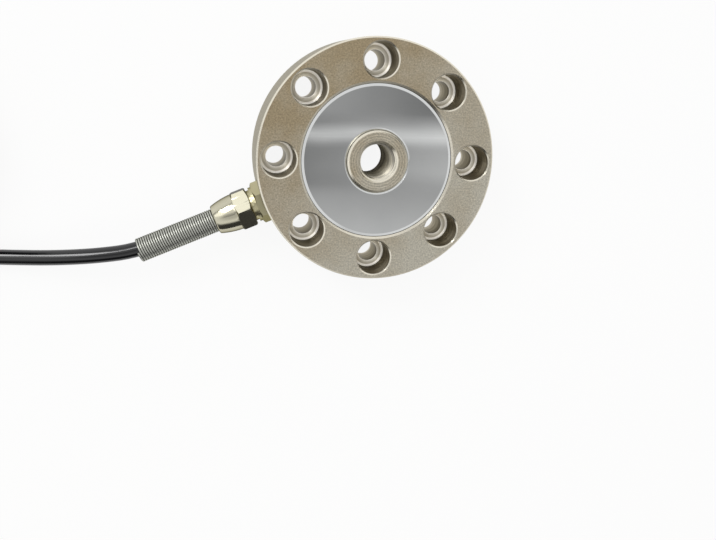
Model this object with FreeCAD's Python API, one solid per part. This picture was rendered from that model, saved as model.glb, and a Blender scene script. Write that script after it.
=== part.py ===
import FreeCAD, Part
import math
import os

# Pancake load cell with a spring-relief cable gland, in millimetres.
# The cell lies on its rear face: Z is the loading axis, z = 0 is the rear face of the outer ring,
# and the front face, with its counterbores and polished cover, looks up.

# Outer ring of the sensing body
ring_diameter = 76.0
ring_thickness = 22.0
ring_edge_chamfer = 0.5

# Mounting holes through the ring, for M6 screws with sunk heads
bolt_count = 8
bolt_hole_diameter = 6.6
counterbore_diameter = 11.0
counterbore_depth = 11.0
counterbore_outer_wall = 1.5
counterbore_inner_wall = 0.7
bolt_mouth_chamfer = 0.4
bolt_rear_chamfer = 0.1

# Loading hub, threaded M12 right through and modelled at the thread's major diameter
hub_diameter = 19.4
hub_thread_diameter = 12.0
hub_mouth_chamfer = 0.6
hub_edge_chamfer = 0.6
hub_front_stand = 0.5
hub_rear_relief = 0.4

# Cover plates, one in the recess of each face
cover_thickness = 1.2
cover_set_back = 0.5
cover_bevel_depth = 0.3
cover_rim_bevel = 0.8
cover_hub_bevel = 0.5
cover_rim_gap = 0.15
cover_hub_gap = 0.1
cover_seat_width = 1.5
recess_mouth_chamfer = 0.65

# Shear spokes between ring and hub
spoke_count = 4
spoke_width = 7.0
spoke_set_back = 1.8
spoke_root_fillet = 1.5
gauge_pocket_share = 0.66
gauge_pocket_depth = 2.2

# Foil strain gauges on the pocket floors
gauge_length_share = 0.66
gauge_height_share = 0.52
gauge_foil = 0.12

# Terminal board on the rear cover, inside the cell, in the bay that the cable enters
board_centre_angle = 225.0
board_span_angle = 60.0
board_thickness = 1.0
board_wall_gap = 0.8
resistor_count = 4
resistor_length = 3.2
resistor_width = 1.6
resistor_height = 0.6
resistor_step_angle = 15.0

# Cable port and gland, on a radius of the ring at half its thickness
gland_angle = 202.5
port_spot_depth = 0.7
port_spot_gap = 0.5
port_thread_diameter = 8.0
port_thread_length = 6.5
port_runout = 0.5
port_seal_width = 1.2
port_seal_thickness = 1.0
slip_gap = 0.05
hex_across_flats = 12.0
hex_chamfer_angle = 30.0
adapter_hex_length = 2.8
adapter_flat_turn = 0.0
adapter_collar_diameter = 11.4
adapter_collar_length = 0.9
nut_thread_diameter = 10.0
nut_thread_length = 5.2
seal_outer_diameter = 7.4
seal_depth = 4.0
seal_stand = 0.6
thrust_washer_thickness = 0.6
nut_gap = 1.0
nut_hex_length = 5.0
nut_flat_turn = 27.0
nut_nose_length = 7.3
nut_nose_root_diameter = 11.9
nut_nose_tip_diameter = 9.4
nut_nose_bulge = 0.25
nut_nose_lip = 0.25
nut_shoulder = 1.0

# Strain-relief spring, close wound, its first turns held in the nose of the nut
spring_diameter = 7.7
spring_wire = 0.75
spring_turns = 43
spring_groove = 0.22

# Cable
cable_diameter = 5.0
cable_bore_gap = 0.25
cable_jacket_set_back = 1.0
core_diameter = 1.1
inner_core_spread = 0.75
inner_core_reach_shares = (0.30, 0.51)

# Free stretch of the cable: it starts inside the spring, bends off the gland's axis just before the
# spring's end, falls by steps (x and y from that bend, drop below the axis) and lands on the floor
cable_free_lead = 13.45
cable_bend_lead = 0.65
cable_fall = [(-12.69, -1.95, 0.8), (-26.29, -3.15, 3.2), (-40.09, -3.65, 6.4)]
cable_landing = [(-54.09, -3.60), (-66.09, -3.60)]
cable_floor_gap = 0.1
corner_share = 0.45

# Put-away length of the cable: a neat coil on the floor, wound clockwise seen from above
coil_columns = 4
coil_layers = 4
coil_mean_diameter = 12.0 * cable_diameter
coil_corner = 1.4
coil_lead_length = 22.0
coil_lead_root = 6.0
tie_angle = 150.0
tie_span_angle = 9.0
tie_thickness = 0.8
tie_head_length = 6.2
tie_head_width = 5.2
tie_head_height = 2.6
tie_head_chamfer = 0.7

# Stripped end: it lies in the open corner of the coil's top layer
jacket_end_angle = 72.0
open_corner_angle = 102.0
stripped_cores = ("core_red", "core_black", "core_green", "core_white")
core_span_angle = 40.0
core_stagger = 0.8
core_pitch = 1.12
tip_diameter = 0.7
tip_length = 5.0
drain_diameter = 0.9
drain_short_by = 3.0

overcut = 1.0

# Worked-out places shared by pieces that meet
ring_radius = ring_diameter / 2
hub_radius = hub_diameter / 2
thread_radius = hub_thread_diameter / 2
cable_radius = cable_diameter / 2
bolt_circle = ring_diameter - counterbore_diameter - 2 * counterbore_outer_wall
recess_mouth_radius = (bolt_circle - counterbore_diameter) / 2 - counterbore_inner_wall
recess_radius = recess_mouth_radius - recess_mouth_chamfer
cover_radius = recess_radius - cover_rim_gap
bay_outer_radius = cover_radius - cover_seat_width
bay_inner_radius = hub_radius + cover_hub_gap + cover_seat_width
bay_mean_radius = (bay_inner_radius + bay_outer_radius) / 2
bay_width = bay_outer_radius - bay_inner_radius
middle_height = ring_thickness / 2
front_seat = ring_thickness - cover_set_back - cover_thickness
rear_seat = cover_set_back + cover_thickness
front_web = front_seat - spoke_set_back
rear_web = rear_seat + spoke_set_back
gauge_pocket_diameter = gauge_pocket_share * bay_width
gauge_floor = spoke_width / 2 - gauge_pocket_depth
board_top = rear_seat + board_thickness
port_seal_radius = port_thread_diameter / 2 + port_seal_width

gland_seat = ring_radius - port_spot_depth
adapter_hex_end = gland_seat + adapter_hex_length
adapter_collar_end = adapter_hex_end + adapter_collar_length
adapter_end = adapter_collar_end + nut_thread_length
seal_start = adapter_end - seal_depth
seal_end = adapter_end + seal_stand
nut_start = adapter_collar_end + nut_gap
nut_hex_end = nut_start + nut_hex_length
nut_tip = nut_hex_end + nut_nose_length
nut_washer_seat = seal_end + thrust_washer_thickness
spring_start = nut_washer_seat + nut_shoulder
spring_end = spring_start + spring_turns * spring_wire
spring_radius = spring_diameter / 2
cable_bore = cable_radius + cable_bore_gap
cable_inner_end = bay_outer_radius + cable_jacket_set_back
inner_core_bends = [cable_inner_end - share * bay_width for share in inner_core_reach_shares]
cable_rest_height = cable_radius + cable_floor_gap
cable_free_start = spring_end - cable_free_lead
cable_bend_start = spring_end - cable_bend_lead
gland_cosine = math.cos(math.radians(gland_angle))
gland_sine = math.sin(math.radians(gland_angle))
bend_x = cable_bend_start * gland_cosine
bend_y = cable_bend_start * gland_sine
cable_route = [
    (cable_free_start * gland_cosine, cable_free_start * gland_sine, middle_height),
    (bend_x, bend_y, middle_height),
]
cable_route += [(bend_x + x, bend_y + y, middle_height - drop) for x, y, drop in cable_fall]
cable_route += [(bend_x + x, bend_y + y, cable_rest_height) for x, y in cable_landing]

coil_mean_radius = coil_mean_diameter / 2
coil_half_width = coil_columns * cable_diameter / 2
coil_outer = coil_mean_radius + coil_half_width
coil_inner = coil_mean_radius - coil_half_width
coil_outer_turn = coil_outer - cable_radius
coil_top = cable_rest_height + (coil_layers - 0.5) * cable_diameter
coil_shelf = coil_top - cable_diameter
core_height = coil_shelf + core_diameter / 2
coil_x = cable_route[-1][0] - coil_lead_length
coil_y = cable_route[-1][1] + coil_outer_turn


def vector(x, y, z):
    """One point or direction."""
    return FreeCAD.Vector(x, y, z)


X_AXIS = vector(1, 0, 0)
Z_AXIS = vector(0, 0, 1)
ORIGIN = vector(0, 0, 0)
MITRE = 1


def revolved(profile, angle=360.0):
    """Solid of a closed (radius, height) outline turned about Z, from the X axis onwards."""
    corners = [vector(radius, 0, height) for radius, height in profile]
    face = Part.Face(Part.makePolygon(corners + corners[:1]))
    return face.revolve(ORIGIN, Z_AXIS, angle)


def turned_on_gland(profile):
    """Solid of a closed (distance, radius) outline turned about the gland's axis."""
    corners = [vector(distance, radius, 0) for distance, radius in profile]
    face = Part.Face(Part.makePolygon(corners + corners[:1]))
    return on_gland(face.revolve(ORIGIN, X_AXIS, 360))


def on_gland(shape):
    """Moves a shape built along X, at its distance from the loading axis, onto the gland's axis."""
    placed = shape.copy()
    placed.translate(vector(0, 0, middle_height))
    placed.rotate(ORIGIN, Z_AXIS, gland_angle)
    return placed


def spun(shape, angle):
    """Copy of a shape turned about the loading axis."""
    copy = shape.copy()
    copy.rotate(ORIGIN, Z_AXIS, angle)
    return copy


def at_coil(shape):
    """Moves a shape built about Z onto the coil's axis."""
    placed = shape.copy()
    placed.translate(vector(coil_x, coil_y, 0))
    return placed


def sector(profile, start_angle, span_angle):
    """Part of a ring about Z, with a (radius, height) outline, over a span of angle."""
    return spun(revolved(profile, span_angle), start_angle)


def rectangle(radius_low, radius_high, low, high):
    """Corners of a rectangular outline."""
    return [(radius_low, low), (radius_high, low), (radius_high, high), (radius_low, high)]


def hexagon(start, end, flat_turn, chamfered_start, chamfered_end):
    """Hexagonal prism along X with chamfered corners, its first flat turned from Z about X."""
    corner_radius = hex_across_flats / math.sqrt(3)
    corners = []
    for corner in range(6):
        angle = math.radians(flat_turn + 30 + 60 * corner)
        corners.append(vector(start, corner_radius * math.sin(angle), corner_radius * math.cos(angle)))
    prism = Part.Face(Part.makePolygon(corners + corners[:1])).extrude(vector(end - start, 0, 0))
    flat_radius = hex_across_flats / 2
    drop = (corner_radius - flat_radius) * math.tan(math.radians(hex_chamfer_angle))
    low = start + drop if chamfered_start else start
    high = end - drop if chamfered_end else end
    outline = [
        vector(start, 0, 0),
        vector(start, flat_radius if chamfered_start else corner_radius, 0),
        vector(low, corner_radius, 0),
        vector(high, corner_radius, 0),
        vector(end, flat_radius if chamfered_end else corner_radius, 0),
        vector(end, 0, 0),
    ]
    outline = [point for place, point in enumerate(outline) if point not in outline[:place]]
    bound = Part.Face(Part.makePolygon(outline + outline[:1])).revolve(ORIGIN, X_AXIS, 360)
    return on_gland(prism.common(bound))


def cord(points, radius, label):
    """Tube along straight runs joined by tangent arcs, each as large as its runs allow."""
    route = [vector(*point) for point in points]
    edges = []
    radii = []
    start = route[0]
    for before, corner, after in zip(route, route[1:], route[2:]):
        back = (before - corner).normalize()
        ahead = (after - corner).normalize()
        reach = corner_share * min((before - corner).Length, (after - corner).Length)
        half_turn = (math.pi - back.getAngle(ahead)) / 2
        arc_radius = reach / math.tan(half_turn)
        inward = (back + ahead).normalize() * (arc_radius / math.cos(half_turn) - arc_radius)
        arc_start = corner + back * reach
        arc_end = corner + ahead * reach
        edges.append(Part.LineSegment(start, arc_start).toShape())
        edges.append(Part.Arc(arc_start, corner + inward, arc_end).toShape())
        radii.append(arc_radius)
        start = arc_end
    edges.append(Part.LineSegment(start, route[-1]).toShape())
    path = Part.Wire(edges)
    section = Part.Wire(Part.Circle(route[0], route[1] - route[0], radius).toShape())
    tube = path.makePipeShell([section], True, False)
    expected = math.pi * radius**2 * path.Length
    print(label, "radii", [round(value, 1) for value in radii], "length", round(path.Length, 1),
          "volume ratio", round(tube.Volume / expected, 5))
    return tube


def straight_tube(start, end, radius):
    """Round bar along the gland's axis between two distances."""
    return on_gland(Part.makeCylinder(radius, end - start, vector(start, 0, 0), X_AXIS))


def body_blank():
    """Turned blank: ring, hub and the web between them, with a cover recess in each face."""
    hub_front = ring_thickness + hub_front_stand
    hub_mouth = thread_radius + hub_mouth_chamfer
    return revolved([
        (thread_radius, hub_rear_relief + hub_mouth_chamfer),
        (hub_mouth, hub_rear_relief),
        (hub_radius - hub_edge_chamfer, hub_rear_relief),
        (hub_radius, hub_rear_relief + hub_edge_chamfer),
        (hub_radius, rear_seat),
        (bay_inner_radius, rear_seat),
        (bay_inner_radius, rear_web),
        (bay_outer_radius, rear_web),
        (bay_outer_radius, rear_seat),
        (recess_radius, rear_seat),
        (recess_radius, recess_mouth_chamfer),
        (recess_mouth_radius, 0),
        (ring_radius - ring_edge_chamfer, 0),
        (ring_radius, ring_edge_chamfer),
        (ring_radius, ring_thickness - ring_edge_chamfer),
        (ring_radius - ring_edge_chamfer, ring_thickness),
        (recess_mouth_radius, ring_thickness),
        (recess_radius, ring_thickness - recess_mouth_chamfer),
        (recess_radius, front_seat),
        (bay_outer_radius, front_seat),
        (bay_outer_radius, front_web),
        (bay_inner_radius, front_web),
        (bay_inner_radius, front_seat),
        (hub_radius, front_seat),
        (hub_radius, hub_front - hub_edge_chamfer),
        (hub_radius - hub_edge_chamfer, hub_front),
        (hub_mouth, hub_front),
        (thread_radius, hub_front - hub_mouth_chamfer),
    ])


def spoke_angles():
    """Directions of the spokes, in line with mounting holes."""
    return [spoke * 360.0 / spoke_count for spoke in range(spoke_count)]


def bays():
    """Open bays between the spokes, with filleted roots."""
    web = revolved(rectangle(bay_inner_radius, bay_outer_radius, rear_web, front_web))
    bar = Part.makeBox(ring_radius, spoke_width, ring_thickness, vector(0, -spoke_width / 2, 0))
    for angle in spoke_angles():
        web = web.cut(spun(bar, angle))
    rounded = []
    for bay in web.Solids:
        roots = [edge for edge in bay.Edges if abs(edge.tangentAt(edge.FirstParameter).z) > 0.99]
        rounded.append(bay.makeFillet(spoke_root_fillet, roots))
    return rounded


def gauge_pockets():
    """Round pockets in both flanks of every spoke, which leave a thin shear web between them."""
    pockets = []
    for side in (-1, 1):
        start = vector(bay_mean_radius, side * gauge_floor, middle_height)
        reach = vector(0, side, 0)
        pocket = Part.makeCylinder(gauge_pocket_diameter / 2, gauge_pocket_depth, start, reach)
        pockets += [spun(pocket, angle) for angle in spoke_angles()]
    return pockets


def bolt_holes():
    """Counterbored clearance holes on the bolt circle, chamfered in front and deburred behind."""
    hole = bolt_hole_diameter / 2
    bore = counterbore_diameter / 2
    floor = ring_thickness - counterbore_depth
    cutter = revolved([
        (0, -overcut),
        (hole + bolt_rear_chamfer, -overcut),
        (hole + bolt_rear_chamfer, 0),
        (hole, bolt_rear_chamfer),
        (hole, floor),
        (bore, floor),
        (bore, ring_thickness - bolt_mouth_chamfer),
        (bore + bolt_mouth_chamfer, ring_thickness),
        (bore + bolt_mouth_chamfer, ring_thickness + overcut),
        (0, ring_thickness + overcut),
    ])
    cutter.translate(vector(bolt_circle / 2, 0, 0))
    return [spun(cutter, number * 360.0 / bolt_count) for number in range(bolt_count)]


def cable_port():
    """Spot-faced, threaded port for the gland, and the cable's way on into the bay."""
    spot = hex_across_flats / math.sqrt(3) + port_spot_gap
    thread = port_thread_diameter / 2 + slip_gap
    seal_floor = gland_seat - port_seal_thickness
    thread_end = gland_seat - port_thread_length - port_runout
    return turned_on_gland([
        (bay_outer_radius - overcut, 0),
        (bay_outer_radius - overcut, cable_bore),
        (thread_end, cable_bore),
        (thread_end, thread),
        (seal_floor, thread),
        (seal_floor, port_seal_radius),
        (gland_seat, port_seal_radius),
        (gland_seat, spot),
        (ring_radius + overcut, spot),
        (ring_radius + overcut, 0),
    ])


def sensing_body():
    """Ring, hub and spokes, machined from one block."""
    return body_blank().cut(bays() + gauge_pockets() + bolt_holes() + [cable_port()])


def front_cover():
    """Annular plate on the seats of ring and hub, bevelled at both edges of its outer face."""
    inner = hub_radius + cover_hub_gap
    top = front_seat + cover_thickness
    return revolved([
        (inner, front_seat),
        (cover_radius, front_seat),
        (cover_radius, top - cover_bevel_depth),
        (cover_radius - cover_rim_bevel, top),
        (inner + cover_hub_bevel, top),
        (inner, top - cover_bevel_depth),
    ])


def rear_cover():
    """The same plate, in the recess of the rear face."""
    return front_cover().mirror(vector(0, 0, middle_height), Z_AXIS)


def strain_gauges():
    """One foil on the floor of every gauge pocket."""
    gauge_length = gauge_length_share * gauge_pocket_diameter
    gauge_height = gauge_height_share * gauge_pocket_diameter
    foils = []
    for side in (-1, 1):
        low = gauge_floor if side > 0 else -gauge_floor - gauge_foil
        corner = vector(bay_mean_radius - gauge_length / 2, low, middle_height - gauge_height / 2)
        foil = Part.makeBox(gauge_length, gauge_foil, gauge_height, corner)
        foils += [spun(foil, angle) for angle in spoke_angles()]
    return Part.makeCompound(foils)


def terminal_board():
    """Curved board on the inner face of the rear cover."""
    outline = rectangle(bay_inner_radius + board_wall_gap, bay_outer_radius - board_wall_gap,
                        rear_seat, board_top)
    return sector(outline, board_centre_angle - board_span_angle / 2, board_span_angle)


def trim_resistors():
    """Chip resistors in a row along the board, midway between its inner edge and the cores."""
    board_edge = bay_inner_radius + board_wall_gap
    core_edge = min(inner_core_bends) - core_diameter / 2
    low = (board_edge + core_edge - resistor_width) / 2
    corner = vector(low, -resistor_length / 2, board_top)
    chip = Part.makeBox(resistor_width, resistor_length, resistor_height, corner)
    last = board_centre_angle + board_span_angle / 2 - resistor_step_angle / 2
    return Part.makeCompound([spun(chip, last - place * resistor_step_angle)
                              for place in range(resistor_count)])


def bent_wire(points, thickness):
    """Thin wire in straight runs with mitred bends."""
    section = Part.Wire(Part.Circle(points[0], points[1] - points[0], thickness / 2).toShape())
    return Part.makePolygon(points).makePipeShell([section], True, False, MITRE)


def inner_cores():
    """Cores that leave the cable's inner end and bend down to the board."""
    cores = []
    for level, bend in zip((-1, 1), inner_core_bends):
        for side in (-1, 1):
            y = side * inner_core_spread
            height = level * inner_core_spread
            core = bent_wire([
                vector(cable_inner_end, y, height),
                vector(bend, y, height),
                vector(bend, y, board_top - middle_height),
            ], core_diameter)
            cores.append(on_gland(core))
    return Part.makeCompound(cores)


def port_seal():
    """Rubber washer round the adapter's thread, in the port's counterbore."""
    low = gland_seat - port_seal_thickness
    thread = port_thread_diameter / 2
    return turned_on_gland([(low, thread), (gland_seat, thread),
                            (gland_seat, port_seal_radius), (low, port_seal_radius)])


def gland_adapter():
    """Hexagon with a collar and a thread on each side: one into the ring, one for the nut."""
    port_thread = port_thread_diameter / 2
    collar = adapter_collar_diameter / 2
    nut_thread = nut_thread_diameter / 2
    seal = seal_outer_diameter / 2
    port_end = gland_seat - port_thread_length
    tube = turned_on_gland([
        (port_end, cable_bore),
        (port_end, port_thread),
        (gland_seat + overcut, port_thread),
        (gland_seat + overcut, collar),
        (adapter_collar_end, collar),
        (adapter_collar_end, nut_thread),
        (adapter_end, nut_thread),
        (adapter_end, seal),
        (seal_start, seal),
        (seal_start, cable_bore),
    ])
    core = straight_tube(gland_seat, adapter_hex_end, port_thread)
    hexagonal = hexagon(gland_seat, adapter_hex_end, adapter_flat_turn, False, True)
    return hexagonal.cut(core).fuse(tube).removeSplitter()


def gland_seal():
    """Rubber bush round the cable, in the adapter's mouth."""
    seal = seal_outer_diameter / 2
    return turned_on_gland([(seal_start, cable_radius), (seal_end, cable_radius),
                            (seal_end, seal), (seal_start, seal)])


def thrust_washer():
    """Washer that the nut presses against the seal."""
    outer = nut_thread_diameter / 2 - slip_gap
    return turned_on_gland([(seal_end, cable_bore), (nut_washer_seat, cable_bore),
                            (nut_washer_seat, outer), (seal_end, outer)])


def gland_nut():
    """Hexagon nut with a bellied, tapered nose that holds the spring's first turns."""
    root = vector(nut_hex_end, nut_nose_root_diameter / 2, 0)
    tip = vector(nut_tip - nut_nose_lip, nut_nose_tip_diameter / 2, 0)
    belly = (root + tip) * 0.5 + vector(0, nut_nose_bulge, 0)
    thread = nut_thread_diameter / 2 + slip_gap
    socket = spring_radius + slip_gap
    flank = Part.Arc(root, belly, tip).toShape()
    rest = Part.makePolygon([
        tip,
        vector(nut_tip, tip.y - nut_nose_lip, 0),
        vector(nut_tip, 0, 0),
        vector(nut_start + overcut, 0, 0),
        vector(nut_start + overcut, root.y, 0),
        root,
    ])
    outline = Part.Face(Part.Wire([flank] + rest.Edges))
    nose = on_gland(outline.revolve(ORIGIN, X_AXIS, 360))
    hollow = turned_on_gland([
        (nut_start - overcut, 0),
        (nut_start - overcut, thread),
        (nut_washer_seat, thread),
        (nut_washer_seat, cable_bore),
        (spring_start, cable_bore),
        (spring_start, socket),
        (nut_tip + overcut, socket),
        (nut_tip + overcut, 0),
    ])
    hexagonal = hexagon(nut_start, nut_hex_end, nut_flat_turn, True, True)
    return hexagonal.fuse(nose).cut(hollow).removeSplitter()


def strain_relief_spring():
    """Close-wound spring as a sleeve with one ridge to each turn, plain inside the nut."""
    inner = spring_radius - spring_wire
    valley = spring_radius - spring_groove
    hidden_turns = int((nut_tip - spring_start) / spring_wire)
    profile = [(spring_end, inner), (spring_start, inner), (spring_start, valley)]
    for turn in range(hidden_turns, spring_turns):
        low = spring_start + turn * spring_wire
        profile += [(low, valley), (low + spring_wire / 2, spring_radius)]
    profile.append((spring_end, valley))
    return turned_on_gland(profile)


def cable_entry():
    """Stretch of the cable that the gland and spring hold straight."""
    return straight_tube(cable_inner_end, cable_free_start, cable_radius)


def coil_outline(grow):
    """Outline of the coil's bundle of turns, grown all round except at the floor."""
    low = coil_inner - grow
    high = coil_outer + grow
    top = coil_top + grow
    return [
        (low + coil_corner, 0), (high - coil_corner, 0), (high, coil_corner),
        (high, top - coil_corner), (high - coil_corner, top), (low + coil_corner, top),
        (low, top - coil_corner), (low, coil_corner),
    ]


def tie_head():
    """Latch block of the tie, on top of the band, with chamfered upper edges."""
    low = coil_top + tie_thickness / 2
    top = coil_top + tie_thickness + tie_head_height
    corner = vector(coil_mean_radius - tie_head_length / 2, -tie_head_width / 2, low)
    block = Part.makeBox(tie_head_length, tie_head_width, top - low, corner)
    upper = [edge for edge in block.Edges if edge.BoundBox.ZMin > top - overcut / 2]
    return spun(block.makeChamfer(tie_head_chamfer, upper), tie_angle + tie_span_angle / 2)


def coil_tie():
    """Band round the bundle with its head on top, let into the bundle at the floor."""
    band = sector(coil_outline(tie_thickness), tie_angle, tie_span_angle)
    core = sector(rectangle(coil_inner, coil_outer, tie_thickness, coil_top), tie_angle, tie_span_angle)
    return at_coil(band.cut(core).fuse(tie_head()).removeSplitter())


def cable_coil():
    """Outer shape of the wound length, open at the corner where the stripped end lies."""
    bundle = revolved(coil_outline(0))
    corner = rectangle(coil_outer - cable_diameter, coil_outer + overcut, coil_shelf, coil_top + overcut)
    bundle = bundle.cut(sector(corner, jacket_end_angle - open_corner_angle, open_corner_angle))
    lead_start = vector(coil_lead_root, -coil_outer_turn, cable_rest_height)
    lead = Part.makeCylinder(cable_radius, coil_lead_length - coil_lead_root, lead_start, X_AXIS)
    return at_coil(bundle.fuse(lead)).cut(coil_tie()).removeSplitter()


def level_vector(length, angle):
    """Level vector of a length, at an angle from X."""
    return vector(length * math.cos(math.radians(angle)), length * math.sin(math.radians(angle)), 0)


def round_the_coil(radius, turn, height):
    """Point at a radius round the coil's axis, turned clockwise from the jacket's end."""
    return vector(coil_x, coil_y, height) + level_vector(radius, jacket_end_angle - turn)


def core_radius(place):
    """Radius round the coil of one of the stripped cores, which lie side by side."""
    return coil_outer_turn + (place - (len(stripped_cores) - 1) / 2) * core_pitch


def wire_end(radius, height, short_by):
    """End of a wire on the coil, and the direction that it points in there."""
    ahead = level_vector(1, jacket_end_angle - core_span_angle - 90)
    return round_the_coil(radius, core_span_angle, height) - ahead * short_by, ahead


def wire_on_coil(radius, height, thickness, short_by):
    """Thin wire round the coil from the jacket's end, in three runs that touch its own circle."""
    side = core_span_angle / 4
    corner_radius = radius / math.cos(math.radians(side))
    end, _ = wire_end(radius, height, short_by)
    return bent_wire([
        round_the_coil(radius, 0, height),
        round_the_coil(corner_radius, side, height),
        round_the_coil(corner_radius, 3 * side, height),
        end,
    ], thickness)


def stripped_core(place):
    """One insulated core, from the jacket's end to where its insulation stops."""
    return wire_on_coil(core_radius(place), core_height, core_diameter, place * core_stagger)


def core_tips():
    """Tinned end of every stripped core, straight on from its insulation."""
    tips = []
    for place in range(len(stripped_cores)):
        end, ahead = wire_end(core_radius(place), core_height, place * core_stagger)
        tips.append(Part.makeCylinder(tip_diameter / 2, tip_length, end, ahead))
    return Part.makeCompound(tips)


def shield_drain():
    """Bare drain wire of the shield, in the groove between the two middle cores."""
    reach = (core_diameter + drain_diameter) / 2
    height = core_height + math.sqrt(reach**2 - (core_pitch / 2) ** 2)
    return wire_on_coil(coil_outer_turn, height, drain_diameter, drain_short_by)


def write(node, shape):
    """Exports one node, after a test that every solid in it is sound."""
    if not shape.isValid() or not shape.Solids:
        raise ValueError(node + " is not a sound solid")
    shape.exportStep("parts/" + node + ".step")


def main():
    """Builds and exports every piece."""
    os.makedirs("parts", exist_ok=True)
    pieces = {
        "sensing_body": sensing_body(),
        "front_cover": front_cover(),
        "rear_cover": rear_cover(),
        "strain_gauges": strain_gauges(),
        "terminal_board": terminal_board(),
        "trim_resistors": trim_resistors(),
        "inner_cores": inner_cores(),
        "port_seal": port_seal(),
        "gland_adapter": gland_adapter(),
        "gland_seal": gland_seal(),
        "thrust_washer": thrust_washer(),
        "gland_nut": gland_nut(),
        "strain_relief_spring": strain_relief_spring(),
        "cable_entry": cable_entry(),
        "cable": cord(cable_route, cable_radius, "cable"),
        "cable_coil": cable_coil(),
        "coil_tie": coil_tie(),
        "core_tips": core_tips(),
        "shield_drain": shield_drain(),
    }
    for place, core in enumerate(stripped_cores):
        pieces[core] = stripped_core(place)
    for node, shape in pieces.items():
        write(node, shape)


main()
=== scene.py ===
"""Looks of the pancake load cell: its finishes, hub thread, spring, cable and studio."""

import logging
import math
from abc import ABC, abstractmethod
from dataclasses import dataclass
from enum import Enum
from typing import Any, NamedTuple, Sequence, Union

import bmesh
import bpy
from mathutils import Matrix, Vector


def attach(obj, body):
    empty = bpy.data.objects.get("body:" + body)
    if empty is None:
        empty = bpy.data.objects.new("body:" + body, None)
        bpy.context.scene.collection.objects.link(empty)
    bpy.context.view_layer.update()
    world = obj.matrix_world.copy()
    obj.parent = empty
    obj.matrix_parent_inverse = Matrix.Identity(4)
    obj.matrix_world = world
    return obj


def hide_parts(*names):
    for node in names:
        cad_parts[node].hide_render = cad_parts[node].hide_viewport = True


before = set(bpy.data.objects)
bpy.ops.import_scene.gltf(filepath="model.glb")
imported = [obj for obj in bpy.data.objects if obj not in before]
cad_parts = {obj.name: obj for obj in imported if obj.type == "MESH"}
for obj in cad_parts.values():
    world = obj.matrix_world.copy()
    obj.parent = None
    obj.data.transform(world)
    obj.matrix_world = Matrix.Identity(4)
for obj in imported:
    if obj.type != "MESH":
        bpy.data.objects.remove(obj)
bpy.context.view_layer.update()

LOG = logging.getLogger("load_cell")
MM = 0.001
FULL_TURN = 2 * math.pi
JOIN_GAP = 0.0005 * MM
# Edges of new pieces stay sharp, and those of softened CAD nodes are rounded, above these turns.
SHARP = math.radians(35)
SOFTENED = math.radians(25)
SOFT_SEGMENTS = 2
LINE_SMOOTHNESS = 6
ROOT = "root"

Tree = bpy.types.NodeTree
Socket = bpy.types.NodeSocket
Point = tuple[float, float, float]
Span = tuple[float, float]
Stops = Sequence[tuple[float, Sequence[float]]]
Tones = tuple[tuple[float, str], ...]


def linear(colour: str) -> tuple[float, float, float, float]:
    """Turns an sRGB hex colour into linear red, green, blue and alpha.

    Args:
        colour: Hex colour such as "#C8C0B0".

    Returns:
        The four linear values, with an alpha of 1.
    """
    channels = [int(colour[place:place + 2], 16) / 255 for place in (1, 3, 5)]
    red, green, blue = (value / 12.92 if value <= 0.04045 else ((value + 0.055) / 1.055) ** 2.4
                        for value in channels)
    return red, green, blue, 1.0


# Input numbers that the calls below use: a Map Range node has its value at 0, the range of that at
# 1 and 2, and what it becomes at 3 and 4. A Mix node has its share at 0 and its two sides at 2 and
# 3, or at 6 and 7 for colours.
def add_node(tree: Tree, kind: str, inputs: Union[dict[Any, Any], Sequence[Any]] = (),
             stops: Stops = (), **settings: Any) -> bpy.types.NodeOutputs:
    """Adds one node with its settings and links.

    Args:
        tree: Tree that gets the node.
        kind: Identifier of the node's type.
        inputs: Value, or output socket to link, for each input, by name or number or in order.
        stops: Places and colours of a colour ramp.
        settings: Value of each of the node's own properties.

    Returns:
        The outputs of the new node.
    """
    node = tree.nodes.new(kind)
    for name, value in settings.items():
        setattr(node, name, value)
    for name, value in inputs.items() if isinstance(inputs, dict) else enumerate(inputs):
        if isinstance(value, Socket):
            tree.links.new(value, node.inputs[name])
        else:
            node.inputs[name].default_value = value
    for number, (place, colour) in enumerate(stops):
        elements = node.color_ramp.elements
        element = elements[number] if number < 2 else elements.new(place)
        element.position = place
        element.color = colour
    return node.outputs


def per_mm(size: float) -> float:
    """Gives the texture scale at which a pattern repeats over a size in millimetres."""
    return 1 / (size * MM)


def shaded(tree: Tree, length: Socket, tones: Tones) -> Socket:
    """Colours a length by tones along it.

    Args:
        tree: Tree that gets the nodes.
        length: The length in metres.
        tones: Lengths in millimetres, rising, with the colour at each.

    Returns:
        The colour.
    """
    low, high = tones[0][0], tones[-1][0]
    share = add_node(tree, "ShaderNodeMapRange", (length, low * MM, high * MM))[0]
    stops = [((place - low) / (high - low), linear(colour)) for place, colour in tones]
    return add_node(tree, "ShaderNodeValToRGB", (share,), stops)[0]


def soft_mask(tree: Tree, *rises: tuple[Socket, Span]) -> Socket:
    """Multiplies smooth rises into one mask.

    Args:
        tree: Tree that gets the nodes.
        rises: Values, each with where its rise is 0 and where it is 1.

    Returns:
        The mask from 0 to 1.
    """
    first, *others = [add_node(tree, "ShaderNodeMapRange", (value, *span),
                               interpolation_type="SMOOTHSTEP")[0] for value, span in rises]
    for other in others:
        first = add_node(tree, "ShaderNodeMath", (first, other), operation="MULTIPLY")[0]
    return first


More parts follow.
